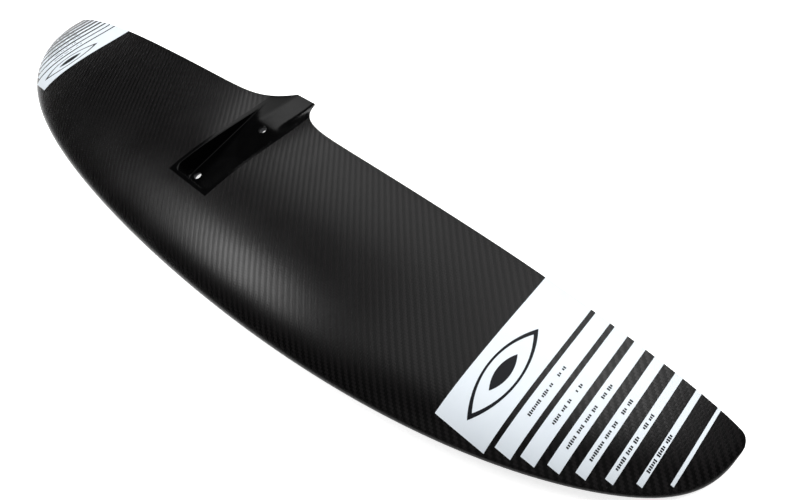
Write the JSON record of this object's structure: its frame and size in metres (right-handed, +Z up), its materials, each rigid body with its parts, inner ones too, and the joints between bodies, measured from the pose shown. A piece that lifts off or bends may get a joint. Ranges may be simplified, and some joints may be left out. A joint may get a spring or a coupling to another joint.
{
  "type": "hydrofoil front wing",
  "caption": "Drooped carbon hydrofoil front wing with a top socket and three through bolt holes for the nose of a fuselage, and graphic bands at both tips.",
  "frame": {"origin": "on the flat seat floor of the socket, midway between the two front bolts and the rear bolt", "axes": "+X along the span to the port tip, +Y aft to the trailing edge, +Z up out of the socket along the bolts"},
  "size_m": [1.06, 0.2335, 0.0569],
  "materials": {
    "carbon_skin": "2/2 twill carbon laminate under a satin clear coat",
    "saddle_laminate": "smooth moulded black laminate, semi-gloss",
    "bush_metal": "turned stainless steel",
    "white_film": "bluish white film under satin clear coat",
    "mark_ink": "dark grey print",
    "foam_core": "closed-cell structural foam",
    "spar_laminate": "unidirectional carbon laminate, unfinished",
    "filler_resin": "chopped-fibre filled resin"
  },
  "bodies": {
    "root": {"upper_skin": "carbon_skin", "lower_skin": "carbon_skin", "saddle": "saddle_laminate", "leading_edge_strip": "filler_resin", "port_trailing_edge_strip": "filler_resin", "starboard_trailing_edge_strip": "filler_resin", "shear_web": "spar_laminate", "upper_spar_cap": "spar_laminate", "lower_spar_cap": "spar_laminate", "port_nose_core": "foam_core", "starboard_nose_core": "foam_core", "port_spar_core": "foam_core", "starboard_spar_core": "foam_core", "port_aft_core": "foam_core", "starboard_aft_core": "foam_core", "port_tip_block": "filler_resin", "starboard_tip_block": "filler_resin", "port_front_bush": "bush_metal", "starboard_front_bush": "bush_metal", "rear_bush": "bush_metal", "port_panel_film": "white_film", "starboard_panel_film": "white_film", "port_band_films": "white_film", "starboard_band_films": "white_film", "port_mark": "mark_ink", "starboard_mark": "mark_ink"}
  },
  "joints": []
}
